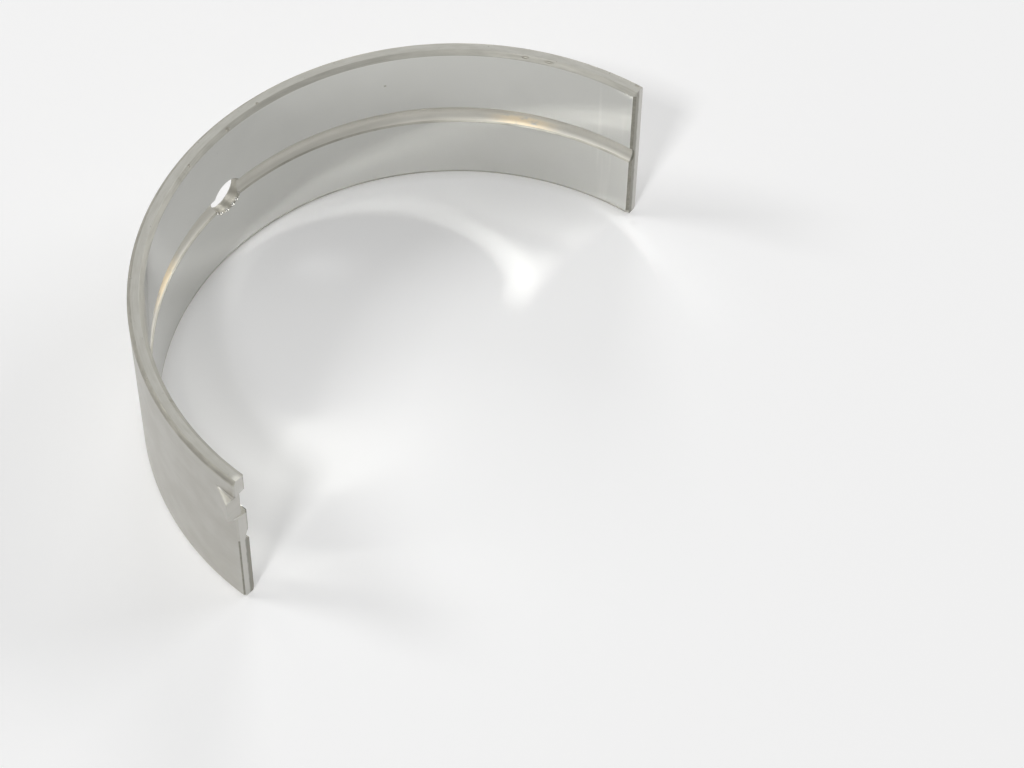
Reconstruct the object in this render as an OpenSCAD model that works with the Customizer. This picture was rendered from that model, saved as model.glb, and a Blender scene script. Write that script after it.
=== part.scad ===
// Half shell of a plain engine bearing, loose and standing on its rim.
// The bearing axis is Z, the origin lies on it at mid width, the crown points along +Y.

/* [Shell] */
// Diameter of the housing bore that the fitted shell fills
seat_d = 120.65; // [90:0.05:150]
// How much wider than that bore the loose shell stands across its ends
free_spread = 2.4; // [0.4:0.1:4]
// Wall thickness from the bore to the back
wall_t = 3.1; // [2.4:0.05:4.5]
// Width along the bearing axis
shell_w = 36.2; // [30:0.1:60]

/* [Edges] */
// Chamfer on the bore edge of both rims
bore_chamfer = 0.85; // [0.2:0.05:1.1]
// Chamfer on the back edge of both rims
back_chamfer = 0.6; // [0.2:0.05:1]
// Bevel along the bore edge of both parting faces
parting_bevel = 0.5; // [0.2:0.05:0.9]
// Bevel along the back edge of both parting faces
parting_break = 0.3; // [0.1:0.05:0.6]

/* [Bore relief] */
// Length of the thinned stretch beside each parting face
relief_len = 10; // [6:0.5:16]
// Depth of that stretch at the parting face
relief_depth = 0.06; // [0.03:0.01:0.12]

/* [Oil groove] */
// Width of the groove between its lips
groove_w = 4.2; // [3:0.1:6]
// Depth of the groove below the bore
groove_depth = 1.2; // [0.8:0.05:1.4]

/* [Oil hole] */
// Diameter of the hole at the crown
hole_d = 7.5; // [5:0.1:10]
// Width of the countersink at the bore
hole_sink = 0.3; // [0.1:0.05:0.8]
// Width by which the hole flares at the back
hole_flare_w = 1.1; // [0.1:0.05:1.4]
// Depth of that flare
hole_flare_d = 0.8; // [0.2:0.1:1]

/* [Locating tang] */
// Width of the tang along the bearing axis
tang_w = 6.6; // [4:0.1:8]
// Distance from the parting face to the bend of the tang
tang_len = 3.8; // [3:0.1:6]
// How far the end of the tang is pressed outwards
tang_rise = 1.6; // [1:0.1:2.2]
// How far the end of the tang is set back from the parting face
tang_gap = 0.25; // [0.1:0.05:0.8]
// Distance from the upper rim to the tang
tang_inset = 4.4; // [2:0.1:6]
// How far the dent in the bore reaches past the tang on each side
tang_ease = 0.3; // [0.1:0.05:0.6]

/* [Hidden] */
$fn = 128;

// Sprung open by the free spread, the same back length fills less than half a turn.
back_r = (seat_d + free_spread) / 2;
bore_r = back_r - wall_t;
arc = 180 * seat_d / (seat_d + free_spread);
half_w = shell_w / 2;

// Clearance by which every cutter passes the faces that it cuts
cut = 2;

// A round groove cutter that meets the bore at the lips
groove_r = (groove_w * groove_w / 4 + groove_depth * groove_depth) / (2 * groove_depth);

// The relief is a smaller circle, set towards the parting face, that meets the bore at relief_len.
relief_angle = relief_len / bore_r * 180 / PI;
relief_end_r = bore_r + relief_depth;
relief_shift = (relief_end_r * relief_end_r - bore_r * bore_r)
    / (2 * (relief_end_r - bore_r * cos(relief_angle)));
relief_r = relief_end_r - relief_shift;

// The tang is a flap of the wall, bent outwards about a line in the bore.
// Its points lie in the frame of the parting face: outwards from the axis, then out of the shell.
tang_angle = tang_len / bore_r * 180 / PI;
tang_bend = bore_r * [cos(tang_angle), -sin(tang_angle)];
tang_tip = [bore_r + tang_rise, -tang_gap];
flap_len = norm(tang_tip - tang_bend);
flap_dir = (tang_tip - tang_bend) / flap_len;
flap_up = [flap_dir[1], -flap_dir[0]];
flap_root = wall_t / 2;
tang_top = half_w - tang_inset;

// Places its children at one end of the arc: X along the parting face, Y out of the shell.
// side is -1 at the end with the tang and 1 at the plain end.
module at_parting(side) {
    mirror([side > 0 ? 1 : 0, 0, 0])
        rotate([0, 0, 90 + arc / 2])
            children();
}

// Extrudes a flat outline over the full width of the shell, and past both rims.
module across_width() {
    translate([0, 0, -half_w - cut])
        linear_extrude(shell_w + 2 * cut)
            children();
}

// Extrudes a flat outline over the width of the tang, and past it by ease on each side.
module across_tang(ease = 0) {
    at_parting(-1)
        translate([0, 0, tang_top - tang_w - ease])
            linear_extrude(tang_w + 2 * ease)
                children();
}

// Section of the wall: chamfered rims and the round oil groove at mid width.
module wall_section() {
    difference() {
        polygon([
            [bore_r, bore_chamfer - half_w],
            [bore_r + bore_chamfer, -half_w],
            [back_r - back_chamfer, -half_w],
            [back_r, back_chamfer - half_w],
            [back_r, half_w - back_chamfer],
            [back_r - back_chamfer, half_w],
            [bore_r + bore_chamfer, half_w],
            [bore_r, half_w - bore_chamfer],
        ]);
        translate([bore_r + groove_depth - groove_r, 0])
            circle(groove_r);
    }
}

// The wall swept over the arc of the loose shell, centred on the crown.
module wall() {
    rotate([0, 0, 90 - arc / 2])
        rotate_extrude(angle = arc)
            wall_section();
}

// Drilled hole at the crown, countersunk from the bore and flared at the back.
module oil_hole() {
    hole_r = hole_d / 2;
    flare_slope = hole_flare_w / hole_flare_d;
    rotate([-90, 0, 0]) {
        translate([0, 0, bore_r - cut])
            cylinder(r = hole_r, h = wall_t + 2 * cut);
        translate([0, 0, bore_r - cut])
            cylinder(r1 = hole_r + hole_sink + cut, r2 = hole_r, h = hole_sink + cut);
        translate([0, 0, back_r - hole_flare_d])
            cylinder(r1 = hole_r, r2 = hole_r + hole_flare_w + cut * flare_slope, h = hole_flare_d + cut);
    }
}

// Shallow cut that thins the bore towards one parting face.
module bore_relief(side) {
    at_parting(side)
        translate([relief_shift, 0, -half_w - cut])
            cylinder(r = relief_r, h = shell_w + 2 * cut);
}

// 45 degree cut along one edge of a parting face. into is 1 at the bore edge, -1 at the back edge.
module parting_cut(side, edge_r, size, into) {
    at_parting(side)
        across_width()
            polygon([
                [edge_r + into * (size + cut), cut],
                [edge_r - into * cut, -size - cut],
                [edge_r - into * cut, cut],
            ]);
}

// A point of the bent flap: along it from the bend, and up through the wall from its bore face.
function flap(along, up) = tang_bend + along * flap_dir + up * flap_up;

// The part of the flap that stands out of the back, rooted in the wall behind the bend.
module tang_lug() {
    across_tang()
        polygon([
            flap(-flap_root, flap_root),
            flap(flap_len + cut, -flap_root),
            flap(flap_len + cut, wall_t),
            flap(-flap_root, wall_t),
        ]);
}

// The ramp that the bent flap leaves in the bore.
module tang_dent() {
    across_tang(tang_ease)
        polygon([
            flap(-cut, 0),
            flap(flap_len + cut, 0),
            [flap(-cut, 0)[0], flap(flap_len + cut, 0)[1]],
        ]);
}

// Clears the space between the end of the flap and the parting face.
module tang_end() {
    across_tang()
        translate([bore_r - cut, -tang_gap])
            square([wall_t + tang_rise + 2 * cut, tang_gap + 2 * cut]);
}

module bearing_shell() {
    color([0.72, 0.71, 0.68])
        difference() {
            union() {
                difference() {
                    wall();
                    oil_hole();
                    for (side = [-1, 1]) {
                        bore_relief(side);
                        parting_cut(side, relief_end_r, parting_bevel, 1);
                        parting_cut(side, back_r, parting_break, -1);
                    }
                }
                tang_lug();
            }
            tang_dent();
            tang_end();
        }
}

bearing_shell();
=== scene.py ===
"""Looks of a loose engine bearing shell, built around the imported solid."""

import math

import bmesh
import bpy
import numpy as np
from mathutils import Matrix, Vector

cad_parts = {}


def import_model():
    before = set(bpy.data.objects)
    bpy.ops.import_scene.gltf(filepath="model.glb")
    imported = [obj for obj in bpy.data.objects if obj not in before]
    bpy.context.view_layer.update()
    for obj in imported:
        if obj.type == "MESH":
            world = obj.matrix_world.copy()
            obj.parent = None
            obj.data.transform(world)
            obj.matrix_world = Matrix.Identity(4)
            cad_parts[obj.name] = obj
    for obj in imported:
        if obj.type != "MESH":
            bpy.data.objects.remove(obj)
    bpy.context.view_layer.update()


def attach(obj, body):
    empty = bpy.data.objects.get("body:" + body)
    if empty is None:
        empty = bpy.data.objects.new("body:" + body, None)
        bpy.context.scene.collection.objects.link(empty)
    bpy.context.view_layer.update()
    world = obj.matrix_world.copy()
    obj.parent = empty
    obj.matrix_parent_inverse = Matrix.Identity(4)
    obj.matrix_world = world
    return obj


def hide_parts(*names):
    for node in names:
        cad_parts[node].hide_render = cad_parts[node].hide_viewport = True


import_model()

# Lengths are in millimetres down to the floor; times MM they are metres
MM = 0.001

# Sizes of the solid
SEAT_D, FREE_SPREAD, WALL, WIDTH = 120.65, 2.4, 3.1, 36.2
BORE_CHAMFER, BACK_CHAMFER = 0.85, 0.6
PARTING_BEVEL, PARTING_BREAK = 0.5, 0.3
RELIEF_LEN, RELIEF_DEPTH = 10.0, 0.06
GROOVE_W, GROOVE_DEPTH = 4.2, 1.2
HOLE_R, HOLE_SINK, FLARE_W, FLARE_D = 3.75, 0.3, 1.1, 0.8
TANG_W, TANG_LEN, TANG_RISE = 6.6, 3.8, 1.6
TANG_GAP, TANG_INSET, TANG_EASE = 0.25, 4.4, 0.3

BACK_R = (SEAT_D + FREE_SPREAD) / 2
BORE_R = BACK_R - WALL
HALF_W = WIDTH / 2
HALF_GROOVE = GROOVE_W / 2
HALF_ARC = math.pi / 2 * SEAT_D / (SEAT_D + FREE_SPREAD)
HALF_LEN = BORE_R * HALF_ARC
TANG_TOP = HALF_W - TANG_INSET
TANG_LOW = TANG_TOP - TANG_W

# Rounding of the rim's corners, the groove's lips, the bevels of the ends and the root of the lug
EDGE_R, LIP, BEVEL_SOFT, LUG_SOFT = 0.16, 0.16, 0.1, 0.3
# Edge break at the free end of the lug
LUG_BREAK = 0.18
# How far below the back the top of the flap still takes part in the lug
LUG_REACH = 1
# Distance over which the gap at the end of the tang fades into the wall
GAP_FADE = 3

# Numbers of the finishes, and of the sides of the wall
LINING, GROOVE, BARE, RIM, BACK, PARTING, EDGE, CHAMFER, DIMPLE = range(9)
ON_BORE, ON_RIM, ON_BACK = range(3)

# Width of the bare line along the land's outer edge, painted shade of that rounded edge
EDGE_SHADE_LINE = 0.12
# How far the land's finish may run past its inner and its outer corner
LAND_IN, LAND_OUT = 0.05, 0.02
# How far past the lip of the groove the lining's finish starts
LIP_PAST = 0.02
# How far the dark line on the lower lip of the groove reaches below and above that lip: painted
# shade of the lip's edge, in the dull finish
LIP_SHADE_BELOW, LIP_SHADE_ABOVE = 0.1, 0.2
# Height up to which the tang end's broken back edge gets the dark bevel finish, which there is
# painted shade
BREAK_SHADE_TOP = 0.5
# How far past the bend the finishes of the lug's wall and of the dent reach
SHEAR_PAST, DENT_PAST = 0.4, 0.2


# Mesh lines

# From, to and step of the lines along the arc, measured from a parting face: close together
# at the end and round the hole
STATIONS = [
    (0, 0.7, 0.05),
    (0.7, 8, 0.25),
    (8, 11, 0.5),
    (11, HALF_LEN - 7, 1.2),
    (HALF_LEN - 7, HALF_LEN - 0.2, 0.4),
]
# Heights of the lines across half the groove, and half the stretch that holds them
GROOVE_LINES = [0, 0.5, 1.0, 1.4, 1.7, 1.88, 1.97, 2.03, 2.08, 2.13, 2.18, 2.25, 2.4]
GROOVE_ZONE = 2.7
# Strip of bore and back beside the chamfers that belongs to the rim
RIM_MARGIN = 0.4
# Width of each side of the dent in the bore
STEP = 0.16
# Sides of the tang: share of that step, distance on the back, share of the tang's rise
LUG_SLOPE = [(0.2, 0.1, 0.16), (0.4, 0.4, 0.5), (0.6, 0.7, 0.84), (0.8, 0.95, 0.97)]
LUG_WALL = [(0.2, 0.02, 0.3), (0.4, 0.07, 0.62), (0.6, 0.16, 0.86), (0.8, 0.3, 0.97)]
# Where the lower slope and the upper wall of the lug meet the back and the top of the lug
SLOPE_FOOT, SLOPE_HEAD, WALL_HEAD, WALL_FOOT = 0.15, 1.2, 0.5, 0.04


def stations():
    """Angles from the crown, from the plain end to the tang."""
    dist = np.concatenate([np.arange(*span) for span in STATIONS])
    angle = HALF_ARC - dist / BORE_R
    return np.concatenate([-angle, [0], angle[::-1]])


def spaced(low, high, count, share=0):
    """Evenly spaced lines between two pairs of heights, one in the bore and one on the back."""
    (b0, k0), (b1, k1) = low, high
    return [(b0 + t * (b1 - b0), k0 + t * (k1 - k0), share) for t in np.linspace(0, 1, count)]


def rows():
    """Lines across the width, bottom to top: height in the bore, on the back, share of the tang."""
    top = (HALF_W - BORE_CHAMFER - RIM_MARGIN, HALF_W - BACK_CHAMFER - RIM_MARGIN)
    slope_b, slope_k = TANG_LOW - TANG_EASE - STEP / 2, TANG_LOW - SLOPE_FOOT
    wall_b, wall_k = TANG_TOP + TANG_EASE - STEP / 2, TANG_TOP - WALL_HEAD
    groove = sorted({-z for z in GROOVE_LINES} | set(GROOVE_LINES))
    out = spaced((-top[0], -top[1]), (-GROOVE_ZONE, -GROOVE_ZONE), count=13)
    out += [(z, z, 0) for z in groove]
    out += spaced((GROOVE_ZONE, GROOVE_ZONE), (slope_b, slope_k), count=5)
    out += [(slope_b + STEP * t, TANG_LOW + k, share) for t, k, share in LUG_SLOPE]
    out += spaced((slope_b + STEP, TANG_LOW + SLOPE_HEAD), (wall_b, wall_k), count=9, share=1)
    out += [(wall_b + STEP * (1 - t), TANG_TOP - k, share) for t, k, share in LUG_WALL[::-1]]
    out += spaced((wall_b + STEP, TANG_TOP + WALL_FOOT), top, count=4)
    return np.array(out)


def rounded(points, radius, steps):
    """An open line of points with an arc at each inner corner."""
    out = [points[0]]
    for before, here, after in zip(points, points[1:], points[2:]):
        a, b, c = (np.array(q, float) for q in (before, here, after))
        u, v = (a - b) / np.linalg.norm(a - b), (c - b) / np.linalg.norm(c - b)
        half = math.acos(np.clip(u @ v, -1, 1)) / 2
        centre = b + (u + v) / np.linalg.norm(u + v) * radius / math.sin(half)
        t = radius / math.tan(half)
        p, q = b + u * t - centre, b + v * t - centre
        turn = math.atan2(p[0] * q[1] - p[1] * q[0], p @ q)
        for i in range(steps + 1):
            s, co = math.sin(turn * i / steps), math.cos(turn * i / steps)
            out.append(tuple(centre + np.array([co * p[0] - s * p[1], s * p[0] + co * p[1]])))
    return np.array(out + [points[-1]])


def rim_line():
    """The upper rim from the bore to the back: chamfer, land, chamfer."""
    zb, zk = HALF_W - BORE_CHAMFER, HALF_W - BACK_CHAMFER
    line = [
        (BORE_R, zb - RIM_MARGIN),
        (BORE_R, zb),
        (BORE_R + BORE_CHAMFER, HALF_W),
        (BACK_R - BACK_CHAMFER, HALF_W),
        (BACK_R, zk),
        (BACK_R, zk - RIM_MARGIN),
    ]
    out = rounded(line, EDGE_R, steps=4)
    # A mesh point where the land gives way to the painted shade line along its outer edge
    edge = (BACK_R - BACK_CHAMFER - EDGE_SHADE_LINE, HALF_W)
    return np.insert(out, np.searchsorted(out[:, 0], edge[0]), edge, axis=0)


def section(across, rim):
    """The wall's section as a closed line: side, radius, height and share of the tang."""
    inner = rim[1:-1]
    bore, back = np.full(len(across), BORE_R), np.full(len(across), BACK_R)
    no_tang = np.zeros(len(inner))
    side = np.repeat([ON_BORE, ON_RIM, ON_BACK, ON_RIM], [len(across), len(inner)] * 2)
    r = np.concatenate([bore, inner[:, 0], back, inner[::-1, 0]])
    z = np.concatenate([across[:, 0], inner[:, 1], across[::-1, 1], -inner[::-1, 1]])
    tang = np.concatenate([across[:, 2], no_tang, across[::-1, 2], no_tang])
    return side, r, z, tang


# Shape of the wall

# The tang's flap in the frame of its parting face: bend, tip, direction along it and up its wall
BEND = BORE_R * np.array([math.cos(TANG_LEN / BORE_R), -math.sin(TANG_LEN / BORE_R)])
TIP = np.array([BORE_R + TANG_RISE, -TANG_GAP])
FLAP = (TIP - BEND) / np.linalg.norm(TIP - BEND)
FLAP_UP = np.array([FLAP[1], -FLAP[0]])
# Angle from the parting face, in radians, beyond which the flap plays no part
FLAP_SPAN = 0.15


def smax(a, b, k):
    """The larger of two values, with the corner between them rounded over k."""
    h = np.maximum(k - np.abs(a - b), 0) / k
    return np.maximum(a, b) + h * h * k / 4


def smin(a, b, k):
    """The smaller of two values, rounded in the same way."""
    return -smax(-a, -b, k)


def groove_floor(z):
    """Radius of the round groove at a height."""
    r = (GROOVE_W**2 / 4 + GROOVE_DEPTH**2) / (2 * GROOVE_DEPTH)
    return BORE_R + GROOVE_DEPTH - r + np.sqrt(np.maximum(r * r - z * z, 0))


def relief(dist):
    """Radius of the thinned bore at a distance from a parting face."""
    end_r = BORE_R + RELIEF_DEPTH
    angle = RELIEF_LEN / BORE_R
    shift = (end_r**2 - BORE_R**2) / (2 * (end_r - BORE_R * math.cos(angle)))
    r = end_r - shift
    d = dist / BORE_R
    return shift * np.cos(d) + np.sqrt(np.maximum(r * r - (shift * np.sin(d)) ** 2, 0))


def flap_radius(up, angle):
    """Radius of the bent flap, up through its wall, at an angle from the parting face."""
    base = BEND + up * FLAP_UP
    s, c = np.sin(angle), np.cos(angle)
    along = -(base[0] * s + base[1] * c) / (FLAP[0] * s + FLAP[1] * c)
    r = np.hypot(base[0] + along * FLAP[0], base[1] + along * FLAP[1])
    return np.where(angle < FLAP_SPAN, r, 0)


def wall_radius(side, r, tang, z, angle, to_tang, to_plain):
    """Radius of each point: bore with groove, relief and dent, back with the lug, or rim."""
    dist = np.minimum(to_tang, to_plain)
    bevel = BORE_R + RELIEF_DEPTH + PARTING_BEVEL - dist
    ease = BACK_R - PARTING_BREAK + dist
    thinned = np.maximum(relief(to_tang), relief(to_plain))
    bore = np.maximum(smax(BORE_R, groove_floor(z), LIP), thinned)
    bore = smax(bore, bevel, BEVEL_SOFT)
    bore = bore + tang * np.maximum(0, flap_radius(0, angle) - bore)
    back = smin(BACK_R, ease, BEVEL_SOFT)
    lug = flap_radius(WALL, angle) - np.maximum(0, LUG_BREAK - to_tang)
    lug = np.where(lug > BACK_R - LUG_REACH, smax(lug, BACK_R, LUG_SOFT), back)
    back = back + tang * np.maximum(0, lug - back)
    edge = smin(smax(r, bevel, BEVEL_SOFT), ease, BEVEL_SOFT)
    return np.where(side == ON_BORE, bore, np.where(side == ON_BACK, back, edge))


def wall_finish(side, r, z, angle, tang, to_tang, to_plain):
    """Finish of the faces between each line along the arc and the next."""
    dist = np.minimum(to_tang, to_plain)
    on_bore = np.broadcast_to(side == ON_BORE, dist.shape)
    on_back = np.broadcast_to(side == ON_BACK, dist.shape)
    inside = np.where(np.abs(z) > HALF_GROOVE + LIP_PAST, LINING, GROOVE)
    # The dull finish on the lower lip only is painted shade: a dark line where the lip's edge is
    # shaded
    inside[(z > -HALF_GROOVE - LIP_SHADE_BELOW) & (z < -HALF_GROOVE + LIP_SHADE_ABOVE)] = BARE
    middle = (r + np.roll(r, -1)) / 2
    land = (r > BORE_R + BORE_CHAMFER - LAND_IN) & (r < BACK_R - BACK_CHAMFER + LAND_OUT)
    # The land stops short of its outer edge, so a dull line of painted shade runs along that edge
    land &= middle < BACK_R - BACK_CHAMFER - EDGE_SHADE_LINE
    rim = np.where(land, RIM, np.where(r < BORE_R + WALL / 2, CHAMFER, BARE))
    finish = np.where(side == ON_BORE, inside, np.where(side == ON_BACK, BACK, rim))
    finish = np.broadcast_to(finish, dist.shape).copy()
    finish[on_bore & (dist < PARTING_BEVEL)] = EDGE
    # The dark finish on the broken back edges is painted shade, left off the tang end above that
    # height
    broken = (angle < 0) | ((tang == 0) & (z < BREAK_SHADE_TOP))
    finish[on_back & (dist < PARTING_BREAK) & broken] = EDGE
    sheared = on_back & (tang > 0) & (tang < 1) & (to_tang < TANG_LEN + SHEAR_PAST)
    # Only the upper, up-facing wall of the lug takes the pale finish, which is partly painted light
    finish[sheared & (z > TANG_TOP - TANG_W / 2)] = CHAMFER
    finish[on_bore & (tang > 0) & (to_tang < TANG_LEN + DENT_PAST)] = BARE
    return finish


def close_end(points, faces, finishes, across, rim, ring, at_tang):
    """Closes one end of the wall with a grid between its bore, rims and back."""
    m, k = len(across) - 1, len(rim) - 1
    # The grid's lines lie halfway between even spacing and the radii of the rim's own points
    share = 0.5 * (rim[:, 0] - BORE_R) / WALL + 0.5 * np.arange(k + 1) / k
    grid = np.zeros((m + 1, k + 1), int)
    grid[:, 0], grid[:, k] = ring[: m + 1], ring[m + k : 2 * m + k + 1][::-1]
    grid[m, 1:k], grid[0, 1:k] = ring[m + 1 : m + k], ring[2 * m + k + 1 :][::-1]
    for j in range(1, m):
        p, q = np.array(points[grid[j, 0]]), np.array(points[grid[j, k]])
        for c in range(1, k):
            grid[j, c] = len(points)
            points.append(tuple(p + (q - p) * share[c]))
    for j in range(m):
        flap = at_tang and across[j, 2] + across[j + 1, 2] > 0.5
        for c in range(k):
            quad = (grid[j, c], grid[j, c + 1], grid[j + 1, c + 1], grid[j + 1, c])
            faces.append(quad[::-1] if at_tang else quad)
            finishes.append(BACK if flap else PARTING)


def shell_mesh():
    """The wall as a closed grid, with the bevels of the ends and the bent tang worked into it."""
    across, rim = rows(), rim_line()
    side, r0, z0, tang = section(across, rim)
    a, z = np.meshgrid(stations(), z0, indexing="ij")
    to_tang, to_plain = BORE_R * (HALF_ARC - a), BORE_R * (HALF_ARC + a)
    a = a - TANG_GAP * tang * np.maximum(0, 1 - to_tang / GAP_FADE) / BORE_R
    r = wall_radius(side, r0, tang, z, HALF_ARC - a, to_tang, to_plain)
    points = [tuple(p) for p in np.stack([-r * np.sin(a), r * np.cos(a), z], -1).reshape(-1, 3)]
    here = np.arange(r.size).reshape(r.shape)
    after = np.roll(here, -1, axis=1)
    quads = np.stack([here[:-1], here[1:], after[1:], after[:-1]], -1)
    faces = [tuple(q) for q in quads.reshape(-1, 4)]
    finish = wall_finish(side, r0, z0, a[:-1], tang, to_tang[:-1], to_plain[:-1])
    finishes = list(finish.reshape(-1))
    close_end(points, faces, finishes, across, rim, here[0], at_tang=False)
    close_end(points, faces, finishes, across, rim, here[-1], at_tang=True)
    return np.array(points) * MM, faces, finishes


# Objects and cuts

# Reach of the hole cutter past the wall
REACH = 2.0
# Soft corner between countersink and hole: out from the hole's wall, and on from the sink's end
SINK_CORNER = [(0.07, -0.07), (0.02, 0.03), (0, 0.12)]
# How far the flare runs on past the back, outwards from the hole and from the back
FLARE_ON_W, FLARE_ON_D = 0.4, 0.3
# Corners of the hole, turned by a share of a step so that they miss the mesh lines of the wall
HOLE_CORNERS, HOLE_TURN = 128, 0.37
# Points closer together than this are merged after a cut
MERGE = 0.0005

# Nicks in the edges of the upper rim and a pit in the lining: degrees from the crown, radius,
# height, size and stretch along the arc
NICKS = [
    (-2.1, BORE_R + 0.22, HALF_W - 0.36, 0.42, 1.5),
    (-10.2, BORE_R + 0.95, HALF_W + 0.12, 0.34, 1.2),
    (-64.8, BORE_R + 0.36, HALF_W - 0.22, 0.34, 2.6),
    (-69.5, BORE_R + 0.34, HALF_W - 0.24, 0.32, 4.0),
    (-87.2, BACK_R - 0.85, HALF_W + 0.12, 0.34, 1.3),
    (9.5, BORE_R + 0.40, HALF_W - 0.18, 0.36, 1.2),
    (38.0, BACK_R - 0.30, HALF_W - 0.10, 0.34, 1.6),
    (61.0, BACK_R - 0.28, HALF_W - 0.12, 0.32, 1.4),
    (-37.2, BORE_R - 0.04, 10.3, 0.2, 1.3),
]


def add_object(name, mesh, finishes, materials):
    """A mesh as an object of the scene, with a finish for each face."""
    for m in materials:
        mesh.materials.append(m)
    mesh.polygons.foreach_set("material_index", np.array(finishes, np.int32))
    obj = bpy.data.objects.new(name, mesh)
    bpy.context.scene.collection.objects.link(obj)
    return obj


def make_object(name, points, faces, finishes, materials):
    """An object of points and faces, with its faces turned outwards."""
    mesh = bpy.data.meshes.new(name)
    mesh.from_pydata([tuple(p) for p in points], [], [tuple(int(v) for v in f) for f in faces])
    obj = add_object(name, mesh, finishes, materials)
    mesh.update()
    bm = bmesh.new()
    bm.from_mesh(mesh)
    bmesh.ops.recalc_face_normals(bm, faces=bm.faces)
    bm.to_mesh(mesh)
    bm.free()
    return obj


def hole_cutter(materials):
    """The drilled hole: countersunk from the bore with a soft corner, flared at the back."""
    sink_end = BORE_R + HOLE_SINK
    line = [
        (HOLE_R + HOLE_SINK + REACH, BORE_R - REACH),
        (HOLE_R + HOLE_SINK, BORE_R),
        *((HOLE_R + out, sink_end + on) for out, on in SINK_CORNER),
        (HOLE_R, BACK_R - FLARE_D),
        (HOLE_R + FLARE_W, BACK_R),
        (HOLE_R + FLARE_W + FLARE_ON_W, BACK_R + FLARE_ON_D),
        (HOLE_R + FLARE_W + FLARE_ON_W, BACK_R + REACH),
    ]
    seg = HOLE_CORNERS
    points, faces = [], []
    for r, y in line:
        for i in range(seg):
            t = 2 * math.pi * (i + HOLE_TURN) / seg
            points.append((r * math.cos(t) * MM, y * MM, r * math.sin(t) * MM))
    for j in range(len(line) - 1):
        for i in range(seg):
            a, b = j * seg + i, j * seg + (i + 1) % seg
            faces.append((a, b, b + seg, a + seg))
    last = (len(line) - 1) * seg
    faces.append(tuple(range(seg)))
    faces.append(tuple(range(last, last + seg)))
    return make_object("hole_cutter", points, faces, [BARE] * len(faces), materials)


def ball_cutter(name, balls, finish, materials):
    """Balls that each cut a small dimple: as in NICKS, but with the angle in radians."""
    bm = bmesh.new()
    for angle, radius, height, size, stretch in balls:
        x, y = -radius * math.sin(angle), radius * math.cos(angle)
        at = Matrix.Translation((x * MM, y * MM, height * MM))
        turn = Matrix.Rotation(angle, 4, "Z")
        grow = Matrix.Diagonal((size * stretch * MM, size * MM, size * MM, 1))
        bmesh.ops.create_icosphere(bm, subdivisions=3, radius=1, matrix=at @ turn @ grow)
    mesh = bpy.data.meshes.new(name)
    bm.to_mesh(mesh)
    bm.free()
    return add_object(name, mesh, [finish] * len(mesh.polygons), materials)


def chatter():
    """Dimples round the countersink, left by the tool, with slightly uneven places and sizes."""
    count, first, pitch, uneven = 7, 204, 23.5, 3
    ring_r, lift = HOLE_R + 0.02, 0.08
    size, size_spread = 0.56, 0.06
    out = []
    for i in range(count):
        t = math.radians(first + pitch * i + uneven * math.sin(2.1 * i))
        ball = size + size_spread * math.sin(4.7 * i)
        out.append((ring_r * math.cos(t) / BORE_R, BORE_R - lift, ring_r * math.sin(t), ball, 1.0))
    return out


def cut(obj, cutter):
    """Cuts one object by another, and merges the slivers that this leaves."""
    mod = obj.modifiers.new("cut", "BOOLEAN")
    mod.operation, mod.solver, mod.object = "DIFFERENCE", "EXACT", cutter
    mod.material_mode = "INDEX"
    graph = bpy.context.evaluated_depsgraph_get()
    done = bpy.data.meshes.new_from_object(obj.evaluated_get(graph))
    obj.modifiers.clear()
    bm = bmesh.new()
    bm.from_mesh(done)
    bmesh.ops.remove_doubles(bm, verts=bm.verts, dist=MERGE * MM)
    bmesh.ops.dissolve_degenerate(bm, edges=bm.edges, dist=MERGE * MM)
    bm.to_mesh(done)
    bm.free()
    obj.data = done
    bpy.data.objects.remove(cutter)


# Materials

# The range of a noise over which colour and roughness run from one end to the other
NOISE_LOW, NOISE_HIGH = 0.3, 0.7
# Depth of the bump on all finishes
BUMP_DEPTH = 0.02


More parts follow.
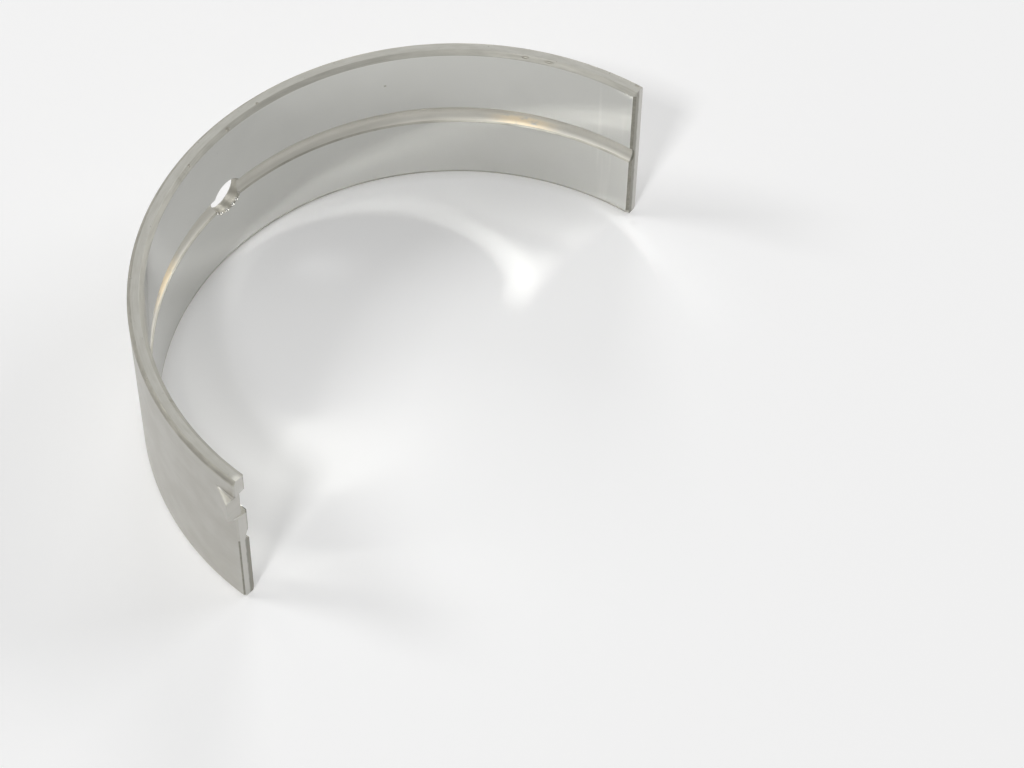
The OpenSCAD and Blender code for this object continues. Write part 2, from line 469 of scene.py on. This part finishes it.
class Nodes:
    """A short way to write a node tree. A value is a socket or a number."""

    def __init__(self, tree):
        self.tree = tree

    def set(self, socket, value):
        if isinstance(value, bpy.types.NodeSocket):
            self.tree.links.new(value, socket)
        else:
            socket.default_value = value

    def add(self, kind, values=None, **props):
        node = self.tree.nodes.new(kind)
        for key, value in props.items():
            setattr(node, key, value)
        for key, value in (values or {}).items():
            self.set(node.inputs[key], value)
        return node

    def math(self, op, a, b=0.0):
        return self.add("ShaderNodeMath", {0: a, 1: b}, operation=op).outputs[0]

    def vec(self, x, y, z):
        return self.add("ShaderNodeCombineXYZ", {0: x, 1: y, 2: z}).outputs[0]

    def noise(self, vector, scale=1.0, detail=3.0, rough=0.5):
        values = {"Vector": vector, "Scale": scale, "Detail": detail, "Roughness": rough}
        return self.add("ShaderNodeTexNoise", values).outputs["Fac"]

    def ramp(self, fac, low, high, to_low=0.0, to_high=1.0):
        values = {"Value": fac, "From Min": low, "From Max": high}
        values |= {"To Min": to_low, "To Max": to_high}
        node = self.add("ShaderNodeMapRange", values, interpolation_type="SMOOTHSTEP")
        return node.outputs["Result"]

    def mix(self, fac, a, b):
        """The colour between two colours; each is a socket or three numbers."""
        node = self.add("ShaderNodeMix", data_type="RGBA")
        self.set(node.inputs[0], fac)
        for socket, colour in ((node.inputs[6], a), (node.inputs[7], b)):
            linked = isinstance(colour, bpy.types.NodeSocket)
            self.set(socket, colour if linked else (*colour, 1.0))
        return node.outputs[2]

    def place(self):
        """Length round the arc from the crown, radius and height, all in millimetres."""
        coords = self.add("ShaderNodeTexCoord").outputs["Object"]
        xyz = self.add("ShaderNodeSeparateXYZ", {0: coords})
        x, y, z = (xyz.outputs[i] for i in range(3))
        angle = self.math("ARCTAN2", self.math("MULTIPLY", x, -1.0), y)
        square = self.math("ADD", self.math("MULTIPLY", x, x), self.math("MULTIPLY", y, y))
        return (
            self.math("MULTIPLY", angle, BORE_R),
            self.math("MULTIPLY", self.math("SQRT", square), 1 / MM),
            self.math("MULTIPLY", z, 1 / MM),
        )

    def stretched(self, place, *factors):
        """Arc, radius and height, each times a factor: a small one draws a noise out that way."""
        scaled = (self.math("MULTIPLY", q, f) if f else 0.0 for q, f in zip(place, factors))
        return self.vec(*scaled)

    def tone(self, noise, dark, light):
        """A colour that runs from dark to light with a noise."""
        return self.mix(self.ramp(noise, NOISE_LOW, NOISE_HIGH), dark, light)

    def between(self, noise, low, high):
        """A number that runs from low to high with a noise."""
        return self.ramp(noise, NOISE_LOW, NOISE_HIGH, low, high)


def metal(name):
    """A new metal, the nodes to write it with, and its shader."""
    mat = bpy.data.materials.new(name)
    mat.use_nodes = True
    n = Nodes(mat.node_tree)
    shader = mat.node_tree.nodes["Principled BSDF"]
    shader.inputs["Metallic"].default_value = 1.0
    return mat, n, shader


def finish_metal(n, shader, colour, rough, height, strength):
    """Gives a metal its colour and roughness, and a bump of a height and a strength."""
    n.set(shader.inputs["Base Color"], colour)
    n.set(shader.inputs["Roughness"], rough)
    values = {"Height": height, "Strength": strength, "Distance": BUMP_DEPTH * MM}
    n.set(shader.inputs["Normal"], n.add("ShaderNodeBump", values).outputs["Normal"])


def lining_material():
    """Smooth lining: faint clouds and turned lines, with streaks across it on the thinned ends in
    bump, roughness and a lighter colour; that lighter colour is a painted highlight.
    """
    mat, n, shader = metal("shell_lining")
    place = n.place()
    relief_start, fade = HALF_LEN - RELIEF_LEN, 1.5
    end = n.ramp(n.math("ABSOLUTE", place[0]), relief_start - fade, relief_start + fade)
    cloud = n.noise(n.stretched(place, 0.05, 1, 0.05), detail=4)
    lines = n.noise(n.stretched(place, 0.03, 0, 9.0), detail=2)
    streak = n.noise(n.stretched(place, 0.55, 0, 0.02), detail=2)
    streak = n.math("MULTIPLY", n.math("SUBTRACT", streak, 0.5), end)
    speck = n.ramp(n.noise(n.stretched(place, 0.9, 0, 0.9), detail=1), 0.80, 0.86)
    colour = n.tone(cloud, (0.645, 0.645, 0.613), (0.68, 0.68, 0.648))
    # Lighter streaks on the thinned ends: painted highlight over the real streaks of bump and
    # roughness
    colour = n.mix(n.ramp(streak, 0.0, 0.22), colour, (0.715, 0.712, 0.678))
    colour = n.mix(speck, colour, (0.35, 0.34, 0.30))
    rough = n.ramp(cloud, 0.25, 0.75, 0.07, 0.10)
    rough = n.math("ADD", rough, n.math("MULTIPLY", streak, 0.2))
    height = n.math("ADD", n.math("MULTIPLY", lines, 0.2), n.math("MULTIPLY", streak, 3.0))
    finish_metal(n, shader, colour, rough, height, 0.12)
    return mat


def groove_material():
    """Turned groove, with a pale gold colour in its lower half at two places along the arc: partly
    a warm tint of the metal, partly a painted glint where lamps catch the groove.
    """
    mat, n, shader = metal("shell_groove")
    place = n.place()
    arc, _, z = place
    gold_glint_at, gold_glint_reach, gold_glint_core = (-66.0, 24.0), 9.0, 1.0
    gold_glint_top, gold_glint_full = 0.2, -1.0
    away = [n.math("ABSOLUTE", n.math("SUBTRACT", arc, at)) for at in gold_glint_at]
    gold_glint_bands = n.math("ADD", *(n.ramp(q, gold_glint_reach, gold_glint_core) for q in away))
    gold_glint = n.ramp(n.noise(n.stretched(place, 0.5, 1, 1)), 0.2, 0.5)
    # Painted glint over a real gold tint: brighter warm colour only in the lower half, where the
    # glints fall
    gold_glint = n.math("MULTIPLY", n.math("MULTIPLY", gold_glint, gold_glint_bands), n.ramp(z, gold_glint_top, gold_glint_full))
    cloud = n.noise(n.stretched(place, 0.1, 1, 0.3), detail=4)
    cuts = n.noise(n.stretched(place, 0.05, 5.0, 5.0))
    colour = n.tone(cloud, (0.64, 0.625, 0.57), (0.70, 0.685, 0.63))
    colour = n.mix(gold_glint, colour, (0.95, 0.83, 0.63))
    finish_metal(n, shader, colour, n.between(cuts, 0.52, 0.64), cuts, 0.3)
    return mat


def bare_material():
    """Dull cut metal: hole, nicks, dent of the tang and back chamfers; also the dark line on the
    groove's lower lip and the line along the land's outer edge, both painted shade.
    """
    mat, n, shader = metal("shell_bare_alloy")
    place = n.place()
    cloud = n.noise(n.stretched(place, 0.3, 1, 0.4), detail=5, rough=0.6)
    cuts = n.noise(n.stretched(place, 0.12, 7.0, 7.0))
    colour = n.tone(cloud, (0.43, 0.416, 0.365), (0.56, 0.542, 0.48))
    finish_metal(n, shader, colour, n.between(cuts, 0.44, 0.58), cuts, 0.35)
    return mat


def rim_material():
    """Flat land of the rims, with small marks and a pale spot at the tang end: partly wear, partly
    a painted highlight on the end's corner.
    """
    mat, n, shader = metal("shell_rim")
    place = n.place()
    arc, r, _ = place
    spot_arc, spot_r, spot_reach, spot_core = HALF_LEN - 0.2, BORE_R + 1.9, 1.3, 0.3
    cloud = n.noise(n.stretched(place, 0.3, 1, 1), detail=4)
    cuts = n.noise(n.stretched(place, 0.12, 9.0, 9.0))
    tick = n.noise(n.stretched(place, 1.6, 0.8, 0), detail=2)
    along, out = n.math("SUBTRACT", arc, spot_arc), n.math("SUBTRACT", r, spot_r)
    square = n.math("ADD", n.math("MULTIPLY", along, along), n.math("MULTIPLY", out, out))
    wear_and_highlight = n.ramp(n.math("SQRT", square), spot_reach, spot_core)
    colour = n.tone(cloud, (0.575, 0.566, 0.52), (0.62, 0.612, 0.57))
    colour = n.mix(n.ramp(tick, 0.68, 0.8), colour, (0.36, 0.35, 0.30))
    # Pale spot at the corner of the tang end: painted highlight, partly wear
    colour = n.mix(wear_and_highlight, colour, (0.84, 0.825, 0.77))
    finish_metal(n, shader, colour, n.between(cuts, 0.6, 0.72), cuts, 0.12)
    return mat


def back_material():
    """Satin steel back, clouded by stains, with fine lines round it."""
    mat, n, shader = metal("shell_back")
    place = n.place()
    stain = n.noise(n.stretched(place, 0.12, 0, 0.16), detail=5, rough=0.6)
    lines = n.noise(n.stretched(place, 0.06, 0, 5.0))
    grit = n.noise(n.vec(*place), scale=4.0)
    colour = n.mix(n.ramp(stain, 0.35, 0.7), (0.512, 0.50, 0.462), (0.57, 0.56, 0.525))
    rough = n.math("ADD", n.between(lines, 0.36, 0.46), n.math("MULTIPLY", stain, 0.08))
    height = n.math("ADD", n.math("MULTIPLY", lines, 0.5), n.math("MULTIPLY", grit, 0.5))
    finish_metal(n, shader, colour, rough, height, 0.25)
    return mat


def parting_material():
    """Parting faces: pale steel, darker towards the bore, and less so beside the tang."""
    mat, n, shader = metal("shell_parting")
    place = n.place()
    arc, r, z = place
    dark_to, pale_from = BORE_R + 1.35, BORE_R + 1.75
    tang_shift = 0.9
    wander = n.noise(n.stretched(place, 0, 1, 0.6))
    lines = n.noise(n.stretched(place, 0, 6.0, 0.4))
    edge = n.math("ADD", r, n.math("MULTIPLY", n.math("SUBTRACT", wander, 0.5), 0.5))
    beside_tang = n.math("MULTIPLY", n.ramp(z, -1.5, 2.5), n.ramp(arc, -1.0, 1.0))
    edge = n.math("ADD", edge, n.math("MULTIPLY", beside_tang, tang_shift))
    pale = n.ramp(edge, dark_to, pale_from)
    colour = n.mix(pale, (0.30, 0.292, 0.255), (0.57, 0.56, 0.527))
    finish_metal(n, shader, colour, n.between(lines, 0.34, 0.48), lines, 0.3)
    return mat


def edge_material():
    """Dark bevels along the parting faces; on the broken back edges this dark is painted shade."""
    mat, n, shader = metal("shell_edge")
    cloud = n.noise(n.vec(*n.place()), scale=1.2, detail=4, rough=0.6)
    colour = n.tone(cloud, (0.24, 0.233, 0.20), (0.34, 0.33, 0.285))
    finish_metal(n, shader, colour, n.between(cloud, 0.4, 0.55), cloud, 0.3)
    return mat


def chamfer_material():
    """Stained bore chamfers of the rims; nearer mid width, the pale sheared wall of the lug, pale
    partly as sheared metal and partly as painted light against the shade in its corner.
    """
    mat, n, shader = metal("shell_chamfer")
    place = n.place()
    arc, _, z = place
    stain_from, lug_to = 16.0, 15.0
    cloud = n.noise(n.stretched(place, 0.2, 1, 1), detail=4)
    stain = n.noise(n.vec(n.math("MULTIPLY", arc, 0.12), 3.0, 0.0), detail=4, rough=0.6)
    cuts = n.noise(n.stretched(place, 0.1, 6.0, 6.0))
    lug = n.ramp(n.math("ABSOLUTE", z), stain_from, lug_to)
    colour = n.tone(cloud, (0.49, 0.48, 0.435), (0.565, 0.555, 0.505))
    colour = n.mix(n.ramp(stain, 0.58, 0.72), colour, (0.36, 0.345, 0.285))
    # Pale colour of the lug's upper wall: sheared metal, with painted light against the shade in
    # its corner
    colour = n.mix(lug, colour, (0.70, 0.685, 0.625))
    finish_metal(n, shader, colour, n.between(cuts, 0.58, 0.7), cuts, 0.15)
    return mat


def dimple_material():
    """Bright dimples round the countersink."""
    mat, n, shader = metal("shell_dimples")
    cloud = n.noise(n.vec(*n.place()), scale=1.5)
    colour = n.tone(cloud, (0.70, 0.69, 0.64), (0.80, 0.79, 0.74))
    finish_metal(n, shader, colour, n.between(cloud, 0.2, 0.28), cloud, 0.1)
    return mat


# The shell

# Edges sharper than this, in degrees, stay sharp in the shading
SHARP = 32

# In the order of the finishes' numbers
materials = [
    lining_material(),
    groove_material(),
    bare_material(),
    rim_material(),
    back_material(),
    parting_material(),
    edge_material(),
    chamfer_material(),
    dimple_material(),
]
nicks = [(math.radians(degrees), *rest) for degrees, *rest in NICKS]
shell = make_object("shell", *shell_mesh(), materials)
cut(shell, hole_cutter(materials))
cut(shell, ball_cutter("chatter_cutter", chatter(), DIMPLE, materials))
cut(shell, ball_cutter("nick_cutter", nicks, BARE, materials))
shell.data.polygons.foreach_set("use_smooth", np.ones(len(shell.data.polygons), bool))
shell.data.set_sharp_from_angle(angle=math.radians(SHARP))
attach(shell, "root")
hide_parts("bearing_shell")


# Floor, light and camera, in metres and degrees

# Heading of the picture about the vertical
HEADING = -53.26
TURN = Matrix.Rotation(math.radians(HEADING), 4, "Z")

FLOOR_SIZE, FLOOR_GAP = 6, 0.00002
FLOOR_COLOUR, FLOOR_ROUGH, FLOOR_SPECULAR, FLOOR_GLOW = 0.88, 0.9, 0.1, 0.11
WORLD_LEVEL = 0.32

LAMP_DISTANCE = 2
# Name, azimuth, elevation, size, and share of white that the lamp adds to a white floor.
# The azimuth runs clockwise from the far side of the picture.
LAMPS = [
    ("far_lamp", 0, 28, 0.7, 0.08),
    ("right_lamp", 60, 30, 1.1, 0.14),
    ("front_lamp", 203, 50, 0.26, 0.22),
    ("left_lamp", 280, 42, 0.5, 0.14),
]

# The camera as fitted to the photograph, with its focal length and the picture's width in pixels
FOCAL_PX, IMAGE_W, SENSOR_MM = 2921.527, 1024, 36.0
CAMERA_DOWN, CAMERA_ROLL = 52.4024, 1.26316
CAMERA_AT = (-0.272408, -0.216514, 0.438007)
CLIP_NEAR, CLIP_FAR = 0.05, 20


def floor():
    """Pale paper that also glows a little where it is seen, directly or in the metal."""
    at = (0, 0, -HALF_W * MM - FLOOR_GAP)
    bpy.ops.mesh.primitive_plane_add(size=FLOOR_SIZE, location=at)
    plane = bpy.context.object
    plane.name = "floor"
    mat = bpy.data.materials.new("floor_paper")
    mat.use_nodes = True
    shader = mat.node_tree.nodes["Principled BSDF"]
    shader.inputs["Base Color"].default_value = (FLOOR_COLOUR, FLOOR_COLOUR, FLOOR_COLOUR, 1)
    shader.inputs["Roughness"].default_value = FLOOR_ROUGH
    shader.inputs["Specular IOR Level"].default_value = FLOOR_SPECULAR
    n = Nodes(mat.node_tree)
    path = n.add("ShaderNodeLightPath")
    seen = n.math("MAXIMUM", path.outputs["Is Camera Ray"], path.outputs["Is Glossy Ray"])
    seen = n.math("MAXIMUM", seen, path.outputs["Is Transmission Ray"])
    glow = n.add("ShaderNodeEmission", {"Strength": FLOOR_GLOW})
    both = n.add("ShaderNodeAddShader", {0: shader.outputs[0], 1: glow.outputs[0]})
    values = {0: seen, 1: shader.outputs[0], 2: both.outputs[0]}
    paper = n.add("ShaderNodeMixShader", values)
    n.set(n.tree.nodes["Material Output"].inputs["Surface"], paper.outputs[0])
    plane.data.materials.append(mat)


def softbox(name, azimuth, elevation, size, level):
    """A square lamp that faces the shell."""
    a, e = math.radians(azimuth), math.radians(elevation)
    towards = Vector((math.sin(a) * math.cos(e), math.cos(a) * math.cos(e), math.sin(e)))
    at = TURN @ towards * LAMP_DISTANCE
    lamp = bpy.data.lights.new(name, "AREA")
    lamp.shape, lamp.size = "SQUARE", size
    lamp.energy = level * math.pi**2 * LAMP_DISTANCE**2 / math.sin(e)
    obj = bpy.data.objects.new(name, lamp)
    obj.location = at
    obj.rotation_euler = (-at).to_track_quat("-Z", "Y").to_euler()
    bpy.context.scene.collection.objects.link(obj)


def world():
    """Even grey light from all round."""
    w = bpy.data.worlds.new("studio")
    bpy.context.scene.world = w
    w.use_nodes = True
    back = w.node_tree.nodes["Background"]
    back.inputs["Color"].default_value = (WORLD_LEVEL, WORLD_LEVEL, WORLD_LEVEL, 1)
    back.inputs["Strength"].default_value = 1.0


def camera():
    """The photograph's view."""
    cam = bpy.data.cameras.new("camera")
    cam.sensor_width = SENSOR_MM
    cam.lens = FOCAL_PX / IMAGE_W * SENSOR_MM
    cam.clip_start, cam.clip_end = CLIP_NEAR, CLIP_FAR
    obj = bpy.data.objects.new("camera", cam)
    tilt = Matrix.Rotation(math.radians(90 - CAMERA_DOWN), 4, "X")
    roll = Matrix.Rotation(math.radians(CAMERA_ROLL), 4, "Z")
    obj.matrix_world = Matrix.Translation(CAMERA_AT) @ TURN @ tilt @ roll
    bpy.context.scene.collection.objects.link(obj)
    bpy.context.scene.camera = obj


floor()
world()
for settings in LAMPS:
    softbox(*settings)
camera()
bpy.context.scene.view_settings.view_transform = "Standard"
# The lining throws light on the floor and mirrors it; filtered bounces would wipe that out
bpy.context.scene.cycles.blur_glossy = 0.0
